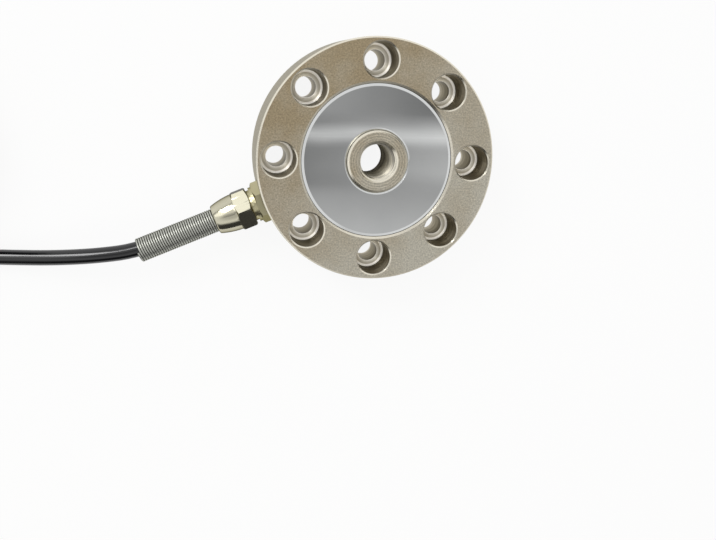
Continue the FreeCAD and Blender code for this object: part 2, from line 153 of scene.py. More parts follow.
class Finish(ABC):
    """Finish of one real material, made as a node material once and shared by name."""

    name: str

    def material(self) -> bpy.types.Material:
        """Makes the material, or gives the one that was made before.

        Returns:
            The material, with its surface shader linked to the output.
        """
        made = bpy.data.materials.get(self.name)
        if made is None:
            made = bpy.data.materials.new(self.name)
            made.use_nodes = True
            made.node_tree.nodes.clear()
            surface = self.surface(made.node_tree)
            add_node(made.node_tree, "ShaderNodeOutputMaterial", {"Surface": surface})
        return made

    @abstractmethod
    def surface(self, tree: Tree) -> Socket:
        """Lays out the nodes.

        Args:
            tree: Empty node tree of the material.

        Returns:
            The shader output of the surface.
        """


class BodyPlaces(NamedTuple):
    """Sockets that tell where on the sensing body a point lies and how it is turned."""

    height: Socket
    from_axis: Socket
    from_hole: Socket
    bored: Socket
    hub_bore: Socket
    edge: Socket
    seat: Socket
    level: Socket
    dull: Socket


class BodyMarks(NamedTuple):
    """Sockets of the marks that blasting and turning leave on the sensing body."""

    grain: Socket
    feed: Socket
    rings: Socket
    hub: Socket


@dataclass(frozen=True)
class BlastedNickel(Finish):
    """Steel, fine blasted and nickel plated, with turned bores and screw seats.

    The blasting gives a soft sheen with a fine grain, and the plating a warm grey that clouds a
    little. The screw seats show the rings of the cutter, with painted highlight rings and shade on
    them. The bores and the hub's thread carry painted shade deep down and between the turns,
    upright walls carry painted shade, and the chamfers, kept glossy, carry a painted highlight.
    Tones go by a height or a distance from an axis in millimetres.
    """

    name: str = "blasted_nickel_plate"

    # Plating: a grey that is warmer on one side and in its clouds, with painted shade that darkens
    # upright walls.
    colour: str = "#CEC9BA"
    warm_colour: str = "#B1A184"
    warm_side: Point = (-0.5, 0.86, 0.0)
    painted_wall_shade: float = 0.77
    rim_tint: str = "#CCC8BE"
    cloud_mm: float = 16.0
    cloud_range: Span = (0.35, 0.65)
    cloud_swing: float = 0.25

    # Bores, thread and screw seats: painted shade deep down and in the thread's roots, and painted
    # highlights at mouths, crests and steps.
    bore_painted_shade: Tones = ((0.0, "#CCC6B8"), (4.0, "#9C9585"), (10.9, "#544F44"),
                         (11.1, "#6A6456"), (15.0, "#938C7C"), (21.4, "#A49D8D"))
    hub_bore_painted_shade: Tones = ((0.0, "#5C574B"), (11.0, "#86806F"), (18.0, "#C2BCAC"), (22.2, "#E4DED0"))
    thread_painted_shade: Tones = ((5.3, "#FFFFFF"), (5.5, "#E6E6E6"), (5.9, "#767676"), (6.1, "#E0E0E0"))
    seat_painted_light: Tones = ((3.3, "#FFFAEE"), (3.8, "#D9D3C5"), (4.5, "#B3AB99"),
                         (4.8, "#FAF4E8"), (5.2, "#FFFCF4"), (5.5, "#BDB6A6"))
    seat_dish: float = 0.85

    # Cut edges: a painted highlight, a lighter colour on every chamfer, and gloss dulled on one
    # side of the ring.
    edge_painted_highlight: str = "#E9E3D3"
    dull_side: Point = (0.7, -0.7, 0.0)
    dull_turn: Span = (0.0, 0.5)

    # Marks: real grain and tool marks are too fine to show in the render, so they are drawn
    # coarser.
    grain_mm: float = 0.5
    feed_mark_mm: float = 0.5
    ring_mark_mm: float = 0.45
    hub_mark_mm: float = 0.8
    bump_mm: float = 0.04
    feed_stretch: Point = (0.05, 0.05, 1.0)
    feed_range: Span = (0.35, 0.65)
    feed_levels: Span = (0.55, 1.3)
    grain_range: Span = (0.3, 0.7)
    grain_levels: Span = (0.68, 1.25)
    hub_marks: float = 0.3
    ring_shade: float = 0.5

    roughness: float = 0.4
    rough_swing: float = 0.1
    bored_roughness: float = 0.3
    thread_roughness: float = 0.45
    edge_roughness: float = 0.18
    dull_roughness: float = 0.6
    seat_roughness: float = 0.34

    # Where the surfaces of the body lie, and the upward part of their direction.
    face_reach: float = 37.3 * MM
    bored_high: float = 21.3 * MM
    hub_reach: float = 10.0 * MM
    bore_reach: float = 7.0 * MM
    hole_count: int = 8
    hole_reach: float = 31.0 * MM
    bevel_level: float = 0.7
    bevel_margin: float = 0.15
    seat_level: float = 0.9

    def surface(self, tree: Tree) -> Socket:
        """Lays out grain, clouds, turned bores, screw seats, and painted light on bores, walls,
        seats and edges.

        Args:
            tree: Empty node tree of the material.

        Returns:
            The shader output of the surface.
        """
        place = add_node(tree, "ShaderNodeTexCoord")["Object"]
        at = self.places(tree, place)
        marks = self.marks(tree, place, at)
        return add_node(tree, "ShaderNodeBsdfPrincipled", {
            "Base Color": self.plating(tree, place, at, marks), "Metallic": 1.0,
            "Roughness": self.gloss(tree, at, marks), "Normal": self.relief(tree, at, marks),
            "Specular Tint": linear(self.rim_tint),
        })[0]

    def places(self, tree: Tree, place: Socket) -> BodyPlaces:
        """Finds the turned bores, the bevelled edges and the screw seats by place and direction.

        Args:
            tree: Node tree of the material.
            place: Place on the body.

        Returns:
            The distances and masks at that place.
        """
        x, y, z = add_node(tree, "ShaderNodeSeparateXYZ", (place,))
        flat = add_node(tree, "ShaderNodeCombineXYZ", (x, y))[0]
        reach = add_node(tree, "ShaderNodeVectorMath", (flat,), operation="LENGTH")["Value"]
        limits = ((reach, self.face_reach), (z, self.bored_high), (reach, self.bore_reach))
        inside, deep, bore = (add_node(tree, "ShaderNodeMath", limit, operation="LESS_THAN")[0]
                              for limit in limits)
        deep = add_node(tree, "ShaderNodeMath", (deep, inside), operation="MULTIPLY")[0]
        normal = add_node(tree, "ShaderNodeNewGeometry")["True Normal"]
        rise = add_node(tree, "ShaderNodeSeparateXYZ", (normal,))[2]
        level = add_node(tree, "ShaderNodeMath", (rise,), operation="ABSOLUTE")[0]
        edge = add_node(tree, "ShaderNodeMath", (level, self.bevel_level, self.bevel_margin),
                        operation="COMPARE")[0]
        dull = add_node(tree, "ShaderNodeVectorMath", (normal, self.dull_side),
                        operation="DOT_PRODUCT")["Value"]
        seat = add_node(tree, "ShaderNodeMath", (rise, self.seat_level),
                        operation="GREATER_THAN")[0]
        seat = add_node(tree, "ShaderNodeMath", (seat, deep), operation="MULTIPLY")[0]
        step = FULL_TURN / self.hole_count
        angle = add_node(tree, "ShaderNodeMath", (y, x), operation="ARCTAN2")[0]
        angle = add_node(tree, "ShaderNodeMath", (angle, step / 2), operation="ADD")[0]
        angle = add_node(tree, "ShaderNodeMath", (angle, step), operation="SNAP")[0]
        parts = [add_node(tree, "ShaderNodeMath", (angle,), operation=part)[0]
                 for part in ("COSINE", "SINE")]
        hole = add_node(tree, "ShaderNodeCombineXYZ", parts)[0]
        hole = add_node(tree, "ShaderNodeVectorMath", {0: hole, "Scale": self.hole_reach},
                        operation="SCALE")[0]
        off = add_node(tree, "ShaderNodeVectorMath", (flat, hole), operation="DISTANCE")["Value"]
        return BodyPlaces(z, reach, off, deep, bore, edge, seat, level, dull)

    def marks(self, tree: Tree, place: Socket, at: BodyPlaces) -> BodyMarks:
        """Lays out the grain of the blasting and the marks of turning and cutting.

        Args:
            tree: Node tree of the material.
            place: Place on the body.
            at: What that place belongs to.

        Returns:
            The marks, with the share that the turning rings have on the hub.
        """
        grain = add_node(tree, "ShaderNodeTexNoise", {
            "Vector": place, "Scale": per_mm(self.grain_mm), "Detail": 3.0, "Roughness": 0.65,
        })[0]
        feed = add_node(tree, "ShaderNodeMapping", {0: place, "Scale": self.feed_stretch})[0]
        feed = add_node(tree, "ShaderNodeTexNoise", {
            "Vector": feed, "Scale": per_mm(self.feed_mark_mm), "Detail": 2.0,
        })[0]
        turned = add_node(tree, "ShaderNodeMath",
                          (at.from_axis, self.ring_mark_mm / self.hub_mark_mm),
                          operation="MULTIPLY")[0]
        turned = add_node(tree, "ShaderNodeMix", {0: at.seat, 2: turned, 3: at.from_hole})[0]
        rings = add_node(tree, "ShaderNodeMath", (turned, FULL_TURN * per_mm(self.ring_mark_mm)),
                         operation="MULTIPLY")[0]
        rings = add_node(tree, "ShaderNodeMath", (rings,), operation="SINE")[0]
        hub = add_node(tree, "ShaderNodeMath", (at.from_axis, self.hub_reach),
                       operation="LESS_THAN")[0]
        hub = add_node(tree, "ShaderNodeMath", (hub, self.hub_marks), operation="MULTIPLY")[0]
        return BodyMarks(grain, feed, rings, hub)

    def gloss(self, tree: Tree, at: BodyPlaces, marks: BodyMarks) -> Socket:
        """Gives each surface of the body its roughness.

        Args:
            tree: Node tree of the material.
            at: What the place belongs to.
            marks: Marks at that place.

        Returns:
            The roughness.
        """
        rough = add_node(tree, "ShaderNodeMapRange", {
            0: marks.grain, 3: self.roughness - self.rough_swing,
            4: self.roughness + self.rough_swing,
        })[0]
        bored = add_node(tree, "ShaderNodeMapRange", {
            0: at.hub_bore, 3: self.bored_roughness, 4: self.thread_roughness,
        })[0]
        edge = add_node(tree, "ShaderNodeMapRange", (
            at.dull, *self.dull_turn, self.edge_roughness, self.dull_roughness,
        ))[0]
        for mask, value in ((at.bored, bored), (at.edge, edge), (at.seat, self.seat_roughness)):
            rough = add_node(tree, "ShaderNodeMix", {0: mask, 2: rough, 3: value})[0]
        return rough

    def relief(self, tree: Tree, at: BodyPlaces, marks: BodyMarks) -> Socket:
        """Raises the grain, the turning rings and the feed marks, and dishes the screw seats.

        Args:
            tree: Node tree of the material.
            at: What the place belongs to.
            marks: Marks at that place.

        Returns:
            The bumped normal.
        """
        dish = add_node(tree, "ShaderNodeMath",
                        (at.from_hole, self.seat_dish * per_mm(self.bump_mm), marks.rings),
                        operation="MULTIPLY_ADD")[0]
        height = marks.grain
        for mask, value in ((marks.hub, marks.rings), (at.bored, marks.feed), (at.seat, dish)):
            height = add_node(tree, "ShaderNodeMix", {0: mask, 2: height, 3: value})[0]
        return add_node(tree, "ShaderNodeBump", {
            "Strength": 0.5, "Distance": self.bump_mm * MM, "Height": height,
        })[0]

    def plating(self, tree: Tree, place: Socket, at: BodyPlaces, marks: BodyMarks) -> Socket:
        """Colours the plating, with painted shade on walls, in bores and thread, and painted
        highlights on edges and seats.

        Args:
            tree: Node tree of the material.
            place: Place on the body.
            at: What that place belongs to.
            marks: Marks at that place.

        Returns:
            The colour.
        """
        cloud = add_node(tree, "ShaderNodeTexNoise", {
            "Vector": place, "Scale": per_mm(self.cloud_mm), "Detail": 5.0, "Roughness": 0.6,
        })[0]
        cloud = add_node(tree, "ShaderNodeMapRange", (
            cloud, *self.cloud_range, -self.cloud_swing, self.cloud_swing,
        ))[0]
        side = add_node(tree, "ShaderNodeVectorMath", (place, self.warm_side),
                        operation="DOT_PRODUCT")["Value"]
        side = add_node(tree, "ShaderNodeMapRange", (side, -self.face_reach, self.face_reach))[0]
        warm = add_node(tree, "ShaderNodeMath", (cloud, side), operation="ADD", use_clamp=True)[0]
        warm = add_node(tree, "ShaderNodeMath", (warm, at.level), operation="MULTIPLY")[0]
        plate = add_node(tree, "ShaderNodeMix", {
            0: warm, 6: linear(self.colour), 7: linear(self.warm_colour),
        }, data_type="RGBA")[2]
        rings = add_node(tree, "ShaderNodeMath", (marks.rings, marks.hub), operation="MULTIPLY")[0]
        speck = add_node(tree, "ShaderNodeMapRange", (
            marks.grain, *self.grain_range, *self.grain_levels,
        ))[0]
        speck = add_node(tree, "ShaderNodeMath", (rings, self.ring_shade, speck),
                         operation="MULTIPLY_ADD")[0]
        # Painted shade: upright walls come out darker.
        wall = add_node(tree, "ShaderNodeMapRange", {0: at.level, 3: self.painted_wall_shade, 4: 1.0})[0]
        speck = add_node(tree, "ShaderNodeMath", (speck, wall), operation="MULTIPLY")[0]
        plate = add_node(tree, "ShaderNodeMix", {0: 1.0, 6: plate, 7: speck},
                         data_type="RGBA", blend_type="MULTIPLY")[2]
        # Painted shade in the hub's bore, deeper down and in the thread's roots, with painted
        # highlights on its crests and at its mouth.
        thread = add_node(tree, "ShaderNodeMix", {
            0: 1.0, 6: shaded(tree, at.height, self.hub_bore_painted_shade),
            7: shaded(tree, at.from_axis, self.thread_painted_shade),
        }, data_type="RGBA", blend_type="MULTIPLY")[2]
        # Painted shade in the screw holes, darkest deep down.
        bore = add_node(tree, "ShaderNodeMix", {
            0: at.hub_bore, 6: shaded(tree, at.height, self.bore_painted_shade), 7: thread,
        }, data_type="RGBA")[2]
        feed = add_node(tree, "ShaderNodeMapRange", (
            marks.feed, *self.feed_range, *self.feed_levels,
        ))[0]
        bore = add_node(tree, "ShaderNodeMix", {0: 1.0, 6: bore, 7: feed},
                        data_type="RGBA", blend_type="MULTIPLY")[2]
        # Painted highlight on the chamfers, and painted highlight rings and shade on the screw
        # seats.
        layers = ((at.bored, bore), (at.edge, linear(self.edge_painted_highlight)),
                  (at.seat, shaded(tree, at.from_hole, self.seat_painted_light)))
        for mask, colour in layers:
            plate = add_node(tree, "ShaderNodeMix", {0: mask, 6: plate, 7: colour},
                             data_type="RGBA")[2]
        return plate


@dataclass(frozen=True)
class PolishedSteel(Finish):
    """Stainless steel sheet, polished to a mirror, with the slight waves that thin sheet keeps.

    Its edge is rolled down at the hub and turned up a little at the rim away from the gland, which
    draws a bright line round both, and at a low glance the sheet darkens as steel does.
    """

    name: str = "mirror_polished_steel"
    colour: str = "#DEDFDE"
    haze_colour: str = "#D0D2D2"
    rim_tint: str = "#8A8C8E"
    roughness: Span = (0.03, 0.065)
    haze_mm: float = 14.0
    # Real wiping marks are too fine to show in the render, so they are drawn coarser.
    wipe_mm: float = 0.8
    wipe_stretch: Point = (0.04, 1.0, 1.0)
    wave_mm: float = 26.0
    wave_height: float = 0.06 * MM
    edge_places: Point = (9.8 * MM, 10.3 * MM, 10.5 * MM)
    edge_drop: float = 0.11 * MM
    edge_rise: float = 0.075 * MM
    rim_places: Span = (23.2 * MM, 24.0 * MM)
    rim_sides: Span = (-19.0 * MM, -9.0 * MM)
    rim_rise: float = 0.16 * MM

    def surface(self, tree: Tree) -> Socket:
        """Lays out the mirror with its waves, rolled edges, haze and wiping marks.

        Args:
            tree: Empty node tree of the material.

        Returns:
            The shader output of the surface.
        """
        place = add_node(tree, "ShaderNodeTexCoord")["Object"]
        wave = add_node(tree, "ShaderNodeTexNoise", {
            "Vector": place, "Scale": per_mm(self.wave_mm), "Detail": 1.0, "Roughness": 0.4,
        })[0]
        haze = add_node(tree, "ShaderNodeTexNoise", {
            "Vector": place, "Scale": per_mm(self.haze_mm), "Detail": 5.0,
        })[0]
        along = add_node(tree, "ShaderNodeMapping", {0: place, "Scale": self.wipe_stretch})[0]
        wiped = add_node(tree, "ShaderNodeTexNoise", {
            "Vector": along, "Scale": per_mm(self.wipe_mm), "Detail": 3.0,
        })[0]
        colour = add_node(tree, "ShaderNodeMix", {
            0: haze, 6: linear(self.colour), 7: linear(self.haze_colour),
        }, data_type="RGBA")[2]
        low, high = self.roughness
        rough = add_node(tree, "ShaderNodeMapRange", {0: wiped, 3: low, 4: high})[0]
        x, y, _ = add_node(tree, "ShaderNodeSeparateXYZ", (place,))
        reach = add_node(tree, "ShaderNodeCombineXYZ", (x, y))[0]
        reach = add_node(tree, "ShaderNodeVectorMath", (reach,), operation="LENGTH")["Value"]
        turned_up = add_node(tree, "ShaderNodeMapRange", (
            x, *self.rim_sides, 0.0, self.rim_rise / self.wave_height,
        ))[0]
        inner, middle, outer = self.edge_places
        lifts = ((*self.rim_places, turned_up), (inner, middle, -self.edge_drop / self.wave_height),
                 (middle, outer, self.edge_rise / self.wave_height))
        for start, end, rise in lifts:
            lift = add_node(tree, "ShaderNodeMapRange", (reach, start, end, 0.0, rise))[0]
            wave = add_node(tree, "ShaderNodeMath", (wave, lift), operation="ADD")[0]
        bump = add_node(tree, "ShaderNodeBump", {
            "Strength": 1.0, "Distance": self.wave_height, "Height": wave,
        })[0]
        return add_node(tree, "ShaderNodeBsdfPrincipled", {
            "Base Color": colour, "Metallic": 1.0, "Roughness": rough, "Normal": bump,
            "Specular Tint": linear(self.rim_tint),
        })[0]


@dataclass(frozen=True)
class BrightMetal(Finish):
    """Turned or drawn metal with a bright surface: plated brass, spring wire or tinned strand.

    Bright plating gives sharp highlights, and handling leaves faint smears in its gloss. Real grain
    is too fine to show in the render, so it is drawn coarser.
    """

    name: str
    colour: str
    shade_colour: str
    roughness: float
    smear_mm: float
    grain_mm: float
    rim_tint: str = "#6A6860"
    rough_swing: Span = (-0.05, 0.06)
    grain_depth: float = 0.01 * MM

    def surface(self, tree: Tree) -> Socket:
        """Lays out the plating with its smears and fine grain.

        Args:
            tree: Empty node tree of the material.

        Returns:
            The shader output of the surface.
        """
        place = add_node(tree, "ShaderNodeTexCoord")["Object"]
        smear = add_node(tree, "ShaderNodeTexNoise", {
            "Vector": place, "Scale": per_mm(self.smear_mm), "Detail": 4.0,
        })[0]
        grain = add_node(tree, "ShaderNodeTexNoise", {
            "Vector": place, "Scale": per_mm(self.grain_mm), "Detail": 2.0,
        })[0]
        colour = add_node(tree, "ShaderNodeMix", {
            0: smear, 6: linear(self.colour), 7: linear(self.shade_colour),
        }, data_type="RGBA")[2]
        low, high = (self.roughness + swing for swing in self.rough_swing)
        rough = add_node(tree, "ShaderNodeMapRange", {0: smear, 3: low, 4: high})[0]
        bump = add_node(tree, "ShaderNodeBump", {
            "Strength": 0.15, "Distance": self.grain_depth, "Height": grain,
        })[0]
        return add_node(tree, "ShaderNodeBsdfPrincipled", {
            "Base Color": self.tint(tree, place, colour), "Metallic": 1.0, "Roughness": rough,
            "Normal": bump, "Specular Tint": linear(self.rim_tint),
        })[0]

    def tint(self, tree: Tree, place: Socket, colour: Socket) -> Socket:
        """Leaves the colour as it is."""
        return colour


@dataclass(frozen=True)
class WoundWire(BrightMetal):
    """Bright wire wound about an axis, with painted shade in the grooves between its turns."""

    # Painted shade between the turns, full below the groove radius and gone at the crown radius.
    groove_painted_shade: str = "#70716B"
    axis: Point = (1.0, 0.0, 0.0)
    centre: Point = (0.0, 0.0, 0.0)
    groove_radius: float = 0.0
    crown_radius: float = 1.0

    def tint(self, tree: Tree, place: Socket, colour: Socket) -> Socket:
        """Darkens what lies deep between the turns, as painted shade.

        Args:
            tree: Node tree of the material.
            place: Place on the wire.
            colour: Colour of the bright wire.

        Returns:
            The colour with its dark grooves.
        """
        off = add_node(tree, "ShaderNodeVectorMath", (place, self.centre), operation="SUBTRACT")[0]
        off = add_node(tree, "ShaderNodeVectorMath", (off, self.axis),
                       operation="CROSS_PRODUCT")[0]
        reach = add_node(tree, "ShaderNodeVectorMath", (off,), operation="LENGTH")["Value"]
        crown = add_node(tree, "ShaderNodeMapRange",
                         (reach, self.groove_radius, self.crown_radius))[0]
        return add_node(tree, "ShaderNodeMix", {
            0: crown, 6: linear(self.groove_painted_shade), 7: colour,
        }, data_type="RGBA")[2]


@dataclass(frozen=True)
class Plastic(Finish):
    """Extruded, moulded or laminated plastic, or rubber, with a mottled gloss and a fine skin.

    A real skin is too fine to show in the render, so it is drawn coarser.
    """

    name: str
    colour: str
    shade_colour: str
    roughness: float
    skin_mm: float
    skin_depth_mm: float = 0.01
    ior: float = 1.5
    rough_swing: Span = (-0.05, 0.08)

    def surface(self, tree: Tree) -> Socket:
        """Lays out the plastic with its mottle and skin.

        Args:
            tree: Empty node tree of the material.

        Returns:
            The shader output of the surface.
        """
        place = add_node(tree, "ShaderNodeTexCoord")["Object"]
        skin = add_node(tree, "ShaderNodeTexNoise", {
            "Vector": place, "Scale": per_mm(self.skin_mm), "Detail": 4.0, "Roughness": 0.55,
        })[0]
        colour = add_node(tree, "ShaderNodeMix", {
            0: skin, 6: linear(self.colour), 7: linear(self.shade_colour),
        }, data_type="RGBA")[2]
        low, high = (self.roughness + swing for swing in self.rough_swing)
        rough = add_node(tree, "ShaderNodeMapRange", {0: skin, 3: low, 4: high})[0]
        bump = add_node(tree, "ShaderNodeBump", {
            "Strength": 0.3, "Distance": self.skin_depth_mm * MM, "Height": skin,
        })[0]
        return add_node(tree, "ShaderNodeBsdfPrincipled", {
            "Base Color": colour, "Roughness": rough, "IOR": self.ior, "Normal": bump,
        })[0]


@dataclass(frozen=True)
class StudioFloor(Finish):
    """Matt white floor that stays white to the camera and in reflections, and keeps a shadow."""

    name: str = "white_studio_floor"
    colour: str = "#F4F4F2"
    white_share: float = 0.9
    mottle_mm: float = 60.0
    roughness: Span = (0.8, 0.9)

    def surface(self, tree: Tree) -> Socket:
        """Lays out the matt floor under its share of white.

        Args:
            tree: Empty node tree of the material.

        Returns:
            The shader output of the surface.
        """
        place = add_node(tree, "ShaderNodeTexCoord")["Object"]
        mottle = add_node(tree, "ShaderNodeTexNoise", {
            "Vector": place, "Scale": per_mm(self.mottle_mm),
        })[0]
        low, high = self.roughness
        rough = add_node(tree, "ShaderNodeMapRange", {0: mottle, 3: low, 4: high})[0]
        matt = add_node(tree, "ShaderNodeBsdfPrincipled", {
            "Base Color": linear(self.colour), "Roughness": rough, "Specular IOR Level": 0.2,
        })[0]
        white = add_node(tree, "ShaderNodeEmission", {"Color": (1, 1, 1, 1), "Strength": 1.0})[0]
        ray = add_node(tree, "ShaderNodeLightPath")
        seen = ray["Is Camera Ray"]
        for other in ("Is Glossy Ray", "Is Transmission Ray"):
            seen = add_node(tree, "ShaderNodeMath", (seen, ray[other]), operation="MAXIMUM")[0]
        share = add_node(tree, "ShaderNodeMath", (seen, self.white_share), operation="MULTIPLY")[0]
        return add_node(tree, "ShaderNodeMixShader", (share, matt, white))[0]


BLASTED_NICKEL = BlastedNickel()
POLISHED_STEEL = PolishedSteel()
# Bright nickel on turned brass: clear reflections in a white that is faintly yellow.
BRIGHT_NICKEL = BrightMetal("bright_nickel_on_brass", "#D3D0BC", "#C3BEA7",
                            roughness=0.13, smear_mm=6.0, grain_mm=0.3)
# Satin nickel on milled brass: soft reflections, and more of the brass in its colour.
SATIN_NICKEL = BrightMetal("satin_nickel_on_brass", "#C3BD9E", "#B4AD89",
                           roughness=0.28, smear_mm=6.0, grain_mm=0.3)
# Tinned copper strand: a pale, slightly warm metal with a soft gleam.
TINNED_COPPER = BrightMetal("tinned_copper_strand", "#D2CDC2", "#BDB7AA",
                            roughness=0.32, smear_mm=1.5, grain_mm=0.2)
# Extruded PVC: nearly black, with a sharp highlight along the cable.
CABLE_JACKET = Plastic("extruded_pvc_jacket", "#0A0A0C", "#0F0F12",
                       roughness=0.1, skin_mm=2.2, skin_depth_mm=0.005, ior=1.6)
# Moulded nylon: black with a satin gloss and a faint grain from the mould.
TIE_NYLON = Plastic("moulded_nylon_tie", "#161617", "#1E1E20", roughness=0.45, skin_mm=0.5)
# Moulded nitrile rubber: a dull soft black.
SEAL_RUBBER = Plastic("moulded_nitrile_rubber", "#171717", "#202020", roughness=0.7, skin_mm=0.4)
# Polyimide foil: amber with a smooth sheen.
GAUGE_FOIL = Plastic("polyimide_gauge_foil", "#C28A2E", "#A8741F", roughness=0.35, skin_mm=0.6)
# Glass epoxy under solder mask: mid green with a faint mottle.
BOARD_LAMINATE = Plastic("glass_epoxy_laminate", "#1F6138", "#2A7345", roughness=0.4, skin_mm=0.7)
# Glazed ceramic chips: black with a clean gloss.
CHIP_CERAMIC = Plastic("glazed_chip_ceramic", "#1B1B1D", "#242427", roughness=0.35, skin_mm=0.4)


class Core(Enum):
    """The four cores of the cable, by the colour of their insulation."""

    RED = ("core_red", "#B5171C", "#9C1216")
    BLACK = ("core_black", "#151517", "#1E1E21")
    GREEN = ("core_green", "#1C7A3B", "#176832")
    WHITE = ("core_white", "#E8E5DB", "#DAD6CA")

    @property
    def node(self) -> str:
        """Name of the core's node, which is also its material slot."""
        return self.value[0]

    @property
    def finish(self) -> Plastic:
        """Extruded PVC insulation, smooth and half glossy, in the core's colour."""
        node, colour, shade = self.value
        return Plastic("pvc_insulation_" + node, colour, shade, roughness=0.34, skin_mm=0.8)


def dress(piece: bpy.types.Object, finish: Finish) -> None:
    """Gives a piece or CAD node one finish.

    Args:
        piece: Object whose material slots are replaced.
        finish: Finish that it gets.
    """
    piece.data.materials.clear()
    piece.data.materials.append(finish.material())
    LOG.info("%s: %s", piece.name, finish.name)


def dress_nodes(finish: Finish, *names: str) -> None:
    """Gives CAD nodes one finish.

    Args:
        finish: Finish that they get.
        names: Names of the nodes.
    """
    for name in names:
        dress(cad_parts[name], finish)


def soften_edges(node: str, width: float) -> None:
    """Rounds a CAD node's sharp edges as a tumbled or plated piece has them.

    Args:
        node: Name of the node.
        width: Width of the rounding in metres.
    """
    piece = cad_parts[node]
    weld = piece.modifiers.new("joined_faces", "WELD")
    weld.merge_threshold = JOIN_GAP
    bevel = piece.modifiers.new("soft_edges", "BEVEL")
    bevel.width = width
    bevel.segments = SOFT_SEGMENTS
    bevel.limit_method = "ANGLE"
    bevel.angle_limit = SOFTENED
    bevel.harden_normals = True


def add_piece(name: str, data: bpy.types.ID, finish: Finish) -> bpy.types.Object:
    """Makes a mesh or curve a dressed piece of the object.

    Args:
        name: Name of the piece.
        data: Its mesh or curve.
        finish: Its finish.

    Returns:
        The new object, riding on the root body.
    """
    piece = bpy.data.objects.new(name, data)
    bpy.context.scene.collection.objects.link(piece)
    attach(piece, ROOT)
    dress(piece, finish)
    return piece


def closed_mesh(name: str, shape: bmesh.types.BMesh) -> bpy.types.Mesh:
    """Makes a modelled shape a smooth mesh with its sharp edges kept.

    Args:
        name: Name of the mesh.
        shape: The modelled shape, which is freed.

    Returns:
        The mesh, with its faces pointing outwards.
    """
    bmesh.ops.remove_doubles(shape, verts=shape.verts, dist=JOIN_GAP)
    bmesh.ops.recalc_face_normals(shape, faces=shape.faces)
    for face in shape.faces:
        face.smooth = True
    for edge in shape.edges:
        edge.smooth = edge.calc_face_angle(0.0) < SHARP
    mesh = bpy.data.meshes.new(name)
    shape.to_mesh(mesh)
    shape.free()
    return mesh


def wind(shape: bmesh.types.BMesh, centre: Vector, axis: Vector, pitch: float, turns: float,
         steps: int) -> None:
    """Winds the outline in a bmesh into a closed helical solid.

    Args:
        shape: Mesh that holds one closed outline, in a plane through the axis.
        centre: Point on the axis.
        axis: Direction of the axis, of length 1.
        pitch: Advance of one turn along the axis in metres.
        turns: Number of turns.
        steps: Steps to a turn.
    """
    bmesh.ops.spin(shape, geom=shape.verts[:] + shape.edges[:], cent=centre, axis=axis,
                   dvec=axis * (pitch / steps), angle=FULL_TURN * turns,
                   steps=round(turns * steps), use_merge=False, use_duplicate=False)
    ends = [edge for edge in shape.edges if edge.is_boundary]
    bmesh.ops.holes_fill(shape, edges=ends, sides=0)


def smooth_line(name: str, points: Sequence[Point], radius: float) -> bpy.types.Curve:
    """Makes a round cord or wire along one smooth open spline.

    Args:
        name: Name of the curve.
        points: Control points of the spline in metres.
        radius: Radius of the cord in metres.

    Returns:
        The curve with its round section and closed ends.
    """
    curve = bpy.data.curves.new(name, "CURVE")
    curve.dimensions = "3D"
    curve.bevel_depth = 1.0
    curve.bevel_resolution = LINE_SMOOTHNESS
    curve.resolution_u = LINE_SMOOTHNESS
    curve.use_fill_caps = True
    spline = curve.splines.new("NURBS")
    spline.points.add(len(points) - 1)
    for control, point in zip(spline.points, points):
        control.co = (*point, 1.0)
        control.radius = radius
    spline.order_u = 3
    spline.use_endpoint_u = True
    return curve


@dataclass
class SensingCell:
    """Sensing body with its covers, hub thread and what is sealed inside it."""

    thread_pitch: float = 1.25 * MM
    thread_major: float = 6.0 * MM
    thread_minor: float = 5.32 * MM
    thread_bury: float = 0.04 * MM
    foot_share: float = 7 / 16
    crest_share: float = 1 / 8
    hub_low: float = 0.4 * MM
    hub_high: float = 22.5 * MM
    mouth_chamfer: float = 0.6 * MM
    steps: int = 64

    def build(self) -> None:
        """Models the thread in the hub."""
        shape = bmesh.new()
        outer = self.thread_major + self.thread_bury
        foot = self.foot_share * self.thread_pitch
        crest = self.crest_share * self.thread_pitch
        outline = [(outer, -foot), (self.thread_minor, -crest), (self.thread_minor, crest),
                   (outer, foot)]
        corners = [shape.verts.new((radius, 0, self.hub_low + height))
                   for radius, height in outline]
        for first, second in zip(corners, corners[1:] + corners[:1]):
            shape.edges.new((first, second))
        turns = (self.hub_high - self.hub_low) / self.thread_pitch
        wind(shape, Vector(), Vector((0, 0, 1)), self.thread_pitch, turns, self.steps)
        self.trim_to_mouths(shape)
        add_piece("hub_thread", closed_mesh("hub_thread", shape), BLASTED_NICKEL)

    def trim_to_mouths(self, shape: bmesh.types.BMesh) -> None:
        """Cuts the thread back to the cones of the hub's two mouths.

        Args:
            shape: Mesh of the whole thread.
        """
        for vertex in shape.verts:
            depth = min(vertex.co.z - self.hub_low, self.hub_high - vertex.co.z)
            least = self.thread_major + self.mouth_chamfer - max(depth, 0) + self.thread_bury
            flat = vertex.co.xy.length
            if flat < least:
                vertex.co.xy = vertex.co.xy * (least / flat)
            vertex.co.z = min(max(vertex.co.z, self.hub_low + self.thread_bury),
                              self.hub_high - self.thread_bury)

    def dress(self) -> None:
        """Gives the body, covers and inner pieces their finishes."""
        dress_nodes(BLASTED_NICKEL, "sensing_body")
        dress_nodes(POLISHED_STEEL, "front_cover", "rear_cover")
        dress_nodes(GAUGE_FOIL, "strain_gauges")
        dress_nodes(BOARD_LAMINATE, "terminal_board")
        dress_nodes(CHIP_CERAMIC, "trim_resistors")
        dress_nodes(Core.WHITE.finish, "inner_cores")


